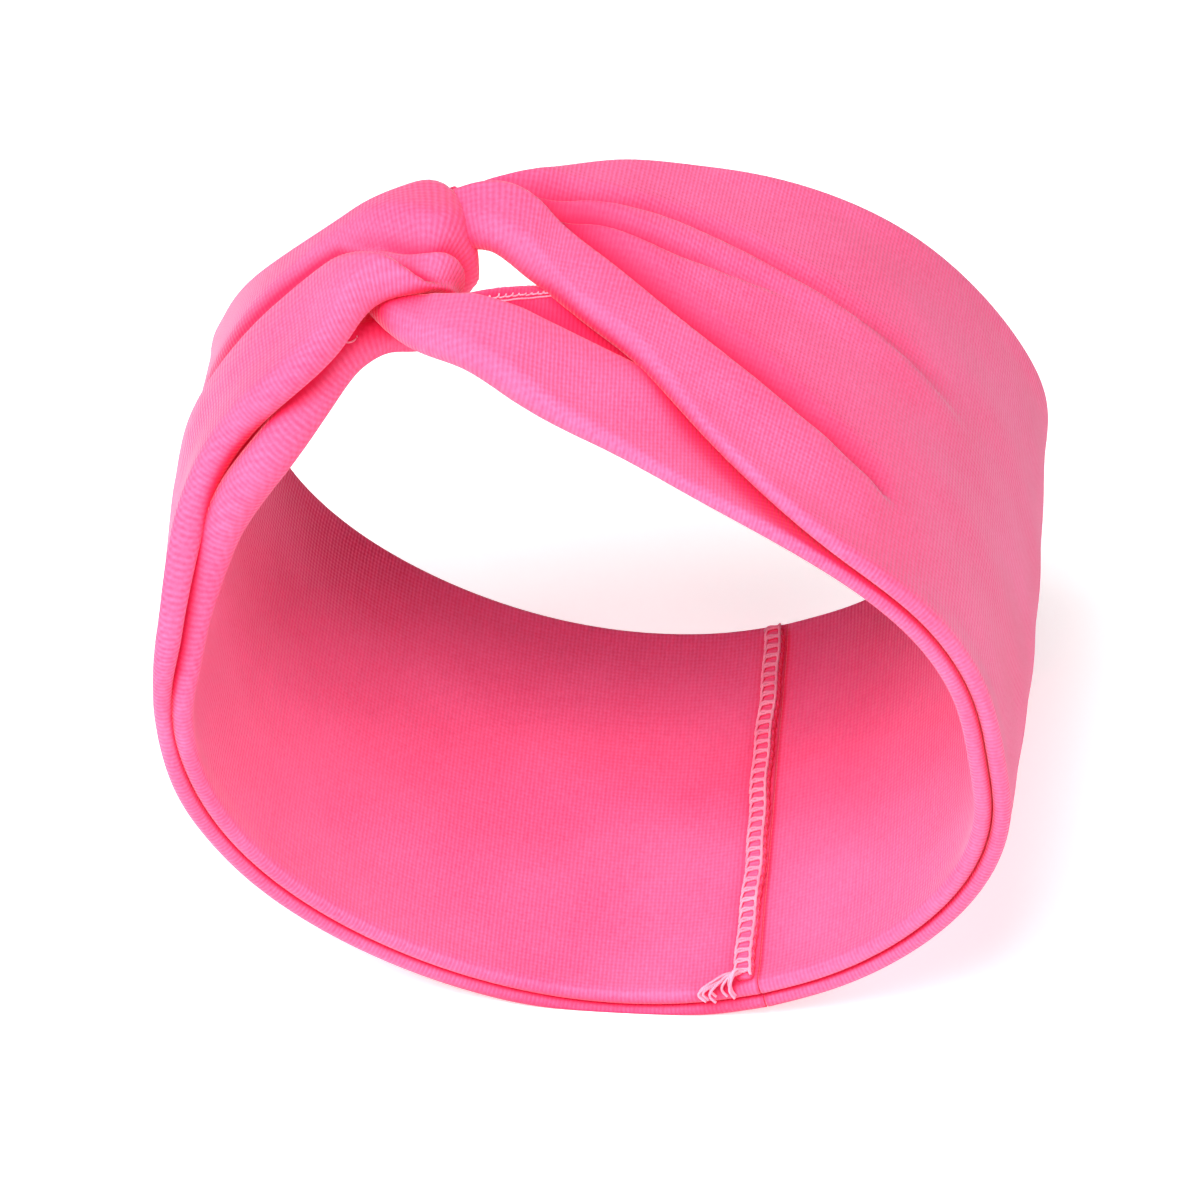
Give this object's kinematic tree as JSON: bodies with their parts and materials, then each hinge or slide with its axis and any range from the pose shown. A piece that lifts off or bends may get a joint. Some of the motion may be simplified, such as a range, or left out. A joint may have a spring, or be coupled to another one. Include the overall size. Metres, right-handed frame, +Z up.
{
  "type": "sports headband",
  "caption": "Wide stretch-knit sports headband: folded fabric strips linked in a twisted knot at the front and joined by an overlocked seam at the back.",
  "frame": {"origin": "middle of the flat that the back panel rests on", "axes": "+Y through the ring from its near rim to its far rim, +X across the ring away from the knot's side, +Z up from the back panel towards the knotted front"},
  "size_m": [0.1499, 0.1004, 0.1285],
  "materials": {
    "knit": "matte fine-ribbed stretch knit",
    "seam_thread": "soft polyester overlock thread"
  },
  "bodies": {
    "root": {"left_strip": "knit", "right_strip": "knit", "back_seam_needle_thread": "seam_thread", "back_seam_upper_looper_thread": "seam_thread", "back_seam_lower_looper_thread": "seam_thread", "left_strip_seam_needle_thread": "seam_thread", "left_strip_seam_upper_looper_thread": "seam_thread", "left_strip_seam_lower_looper_thread": "seam_thread", "right_strip_seam_needle_thread": "seam_thread", "right_strip_seam_upper_looper_thread": "seam_thread", "right_strip_seam_lower_looper_thread": "seam_thread"}
  },
  "joints": []
}
